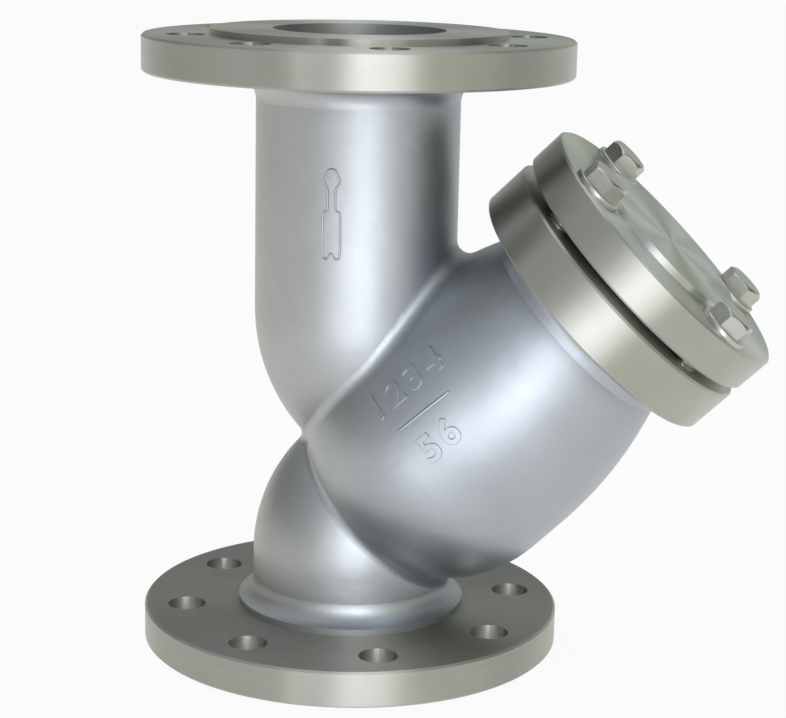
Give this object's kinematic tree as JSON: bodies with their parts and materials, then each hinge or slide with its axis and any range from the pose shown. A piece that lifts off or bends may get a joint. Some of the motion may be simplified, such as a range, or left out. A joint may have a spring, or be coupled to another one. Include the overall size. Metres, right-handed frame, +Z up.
{
  "type": "y strainer",
  "caption": "Flanged Y-pattern line strainer in cast stainless steel, with a bolted round cover on its slanted branch and a perforated screen inside.",
  "frame": {"origin": "centre of the inlet flange's raised face, on which the part stands", "axes": "+Z up along the pipe from inlet to outlet, +X towards the side that the branch leans to, branch axis in the XZ plane at 45 degrees"},
  "size_m": [0.2938, 0.2, 0.295],
  "materials": {
    "cast_stainless": "bead-blasted investment-cast stainless steel on legs and barrel, with turned flanges",
    "turned_stainless": "turned stainless steel with fine concentric tool marks",
    "graphite_winding": "edge of a steel strip wound with graphite, dark grey and matt",
    "gasket_steel": "plain rolled stainless ring",
    "perforated_plate": "cold-rolled perforated stainless plate",
    "wire_cloth": "woven stainless wire cloth",
    "screen_ring_steel": "turned and spot-welded stainless steel",
    "bolt_steel": "cold-formed stainless bolt, smooth with a faint grain"
  },
  "bodies": {
    "root": {"body_casting": "cast_stainless", "gasket_winding": "graphite_winding", "gasket_inner_ring": "gasket_steel"},
    "cover": {"cover": "turned_stainless"},
    "screen": {"screen_tube": "perforated_plate", "screen_mesh": "wire_cloth", "screen_seat_ring": "screen_ring_steel", "screen_cover_ring": "screen_ring_steel", "screen_seam": "screen_ring_steel"},
    "bolt_washer_1": {"bolt_washer_1": "bolt_steel"},
    "cover_bolt_1": {"cover_bolt_1": "bolt_steel"},
    "bolt_washer_2": {"bolt_washer_2": "bolt_steel"},
    "cover_bolt_2": {"cover_bolt_2": "bolt_steel"},
    "bolt_washer_3": {"bolt_washer_3": "bolt_steel"},
    "cover_bolt_3": {"cover_bolt_3": "bolt_steel"},
    "bolt_washer_4": {"bolt_washer_4": "bolt_steel"},
    "cover_bolt_4": {"cover_bolt_4": "bolt_steel"}
  },
  "joints": [
    {"name": "cover_lift", "type": "slide", "parent": "root", "child": "cover", "axis": [0.7071, 0, 0.7071], "range_m": [0, 0.33]},
    {"name": "screen_draw", "type": "slide", "parent": "root", "child": "screen", "axis": [0.7071, 0, 0.7071], "range_m": [0, 0.165]},
    {"name": "washer_1_rise", "type": "slide", "parent": "cover", "child": "bolt_washer_1", "axis": [0.7071, 0, 0.7071], "range_m": [0, 0.01487]},
    {"name": "bolt_1_unscrew", "type": "hinge", "parent": "bolt_washer_1", "child": "cover_bolt_1", "pos_m": [0.11847, -0.04066, 0.23327], "axis": [0.7071, 0, 0.7071], "range_deg": [0, 3060]},
    {"name": "washer_2_rise", "type": "slide", "parent": "cover", "child": "bolt_washer_2", "axis": [0.7071, 0, 0.7071], "range_m": [0, 0.01487]},
    {"name": "bolt_2_unscrew", "type": "hinge", "parent": "bolt_washer_2", "child": "cover_bolt_2", "pos_m": [0.17597, -0.04066, 0.17577], "axis": [0.7071, 0, 0.7071], "range_deg": [0, 3060]},
    {"name": "washer_3_rise", "type": "slide", "parent": "cover", "child": "bolt_washer_3", "axis": [0.7071, 0, 0.7071], "range_m": [0, 0.01487]},
    {"name": "bolt_3_unscrew", "type": "hinge", "parent": "bolt_washer_3", "child": "cover_bolt_3", "pos_m": [0.17597, 0.04066, 0.17577], "axis": [0.7071, 0, 0.7071], "range_deg": [0, 3060]},
    {"name": "washer_4_rise", "type": "slide", "parent": "cover", "child": "bolt_washer_4", "axis": [0.7071, 0, 0.7071], "range_m": [0, 0.01487]},
    {"name": "bolt_4_unscrew", "type": "hinge", "parent": "bolt_washer_4", "child": "cover_bolt_4", "pos_m": [0.11847, 0.04066, 0.23327], "axis": [0.7071, 0, 0.7071], "range_deg": [0, 3060]}
  ],
  "couplings": [
    {"joint": "screen_draw", "follows": "cover_lift", "ratio": 0.5},
    {"joint": "bolt_1_unscrew", "follows": "washer_1_rise", "rad_per_m": 3590.4},
    {"joint": "bolt_2_unscrew", "follows": "washer_2_rise", "rad_per_m": 3590.4},
    {"joint": "bolt_3_unscrew", "follows": "washer_3_rise", "rad_per_m": 3590.4},
    {"joint": "bolt_4_unscrew", "follows": "washer_4_rise", "rad_per_m": 3590.4}
  ]
}
